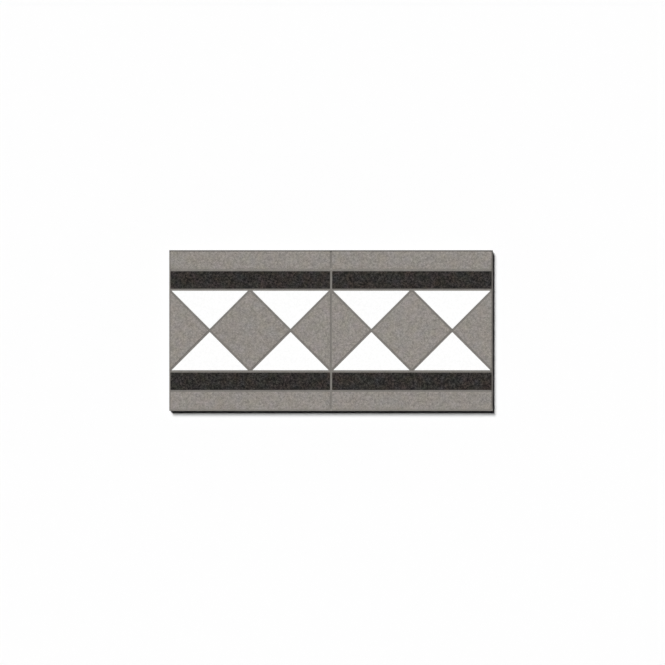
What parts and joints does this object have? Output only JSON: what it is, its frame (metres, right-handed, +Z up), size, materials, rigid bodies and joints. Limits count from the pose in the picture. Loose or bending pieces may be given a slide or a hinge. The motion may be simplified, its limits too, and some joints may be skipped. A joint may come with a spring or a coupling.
{
  "type": "victorian border tile panel",
  "caption": "Flat floor border panel of fired geometric tile pieces: grey and black strips along both sides of a row of grey squares on their corners between white triangles, set in grey grout.",
  "frame": {"origin": "middle of the underside, where the joint between the two repeats crosses the border's middle line", "axes": "+X along the border, to the right in the picture; +Y across the border, up in the picture; +Z up out of the face"},
  "size_m": [0.3002, 0.149, 0.009],
  "materials": {
    "grey_tile": "unglazed, matt, finely speckled grey",
    "black_tile": "unglazed, matt, finely speckled black",
    "white_tile": "unglazed, matt, plain white",
    "grout": "fine sanded cement grout, mid grey"
  },
  "bodies": {
    "root": {"left_black_strip_upper": "black_tile", "left_grey_strip_upper": "grey_tile", "left_white_triangle_upper_1": "white_tile", "left_white_triangle_upper_2": "white_tile", "left_black_strip_lower": "black_tile", "left_grey_strip_lower": "grey_tile", "left_white_triangle_lower_1": "white_tile", "left_white_triangle_lower_2": "white_tile", "left_grey_square": "grey_tile", "left_grey_half_square_1": "grey_tile", "left_grey_half_square_2": "grey_tile", "right_black_strip_upper": "black_tile", "right_grey_strip_upper": "grey_tile", "right_white_triangle_upper_1": "white_tile", "right_white_triangle_upper_2": "white_tile", "right_black_strip_lower": "black_tile", "right_grey_strip_lower": "grey_tile", "right_white_triangle_lower_1": "white_tile", "right_white_triangle_lower_2": "white_tile", "right_grey_square": "grey_tile", "right_grey_half_square_1": "grey_tile", "right_grey_half_square_2": "grey_tile", "grout": "grout"}
  },
  "joints": []
}
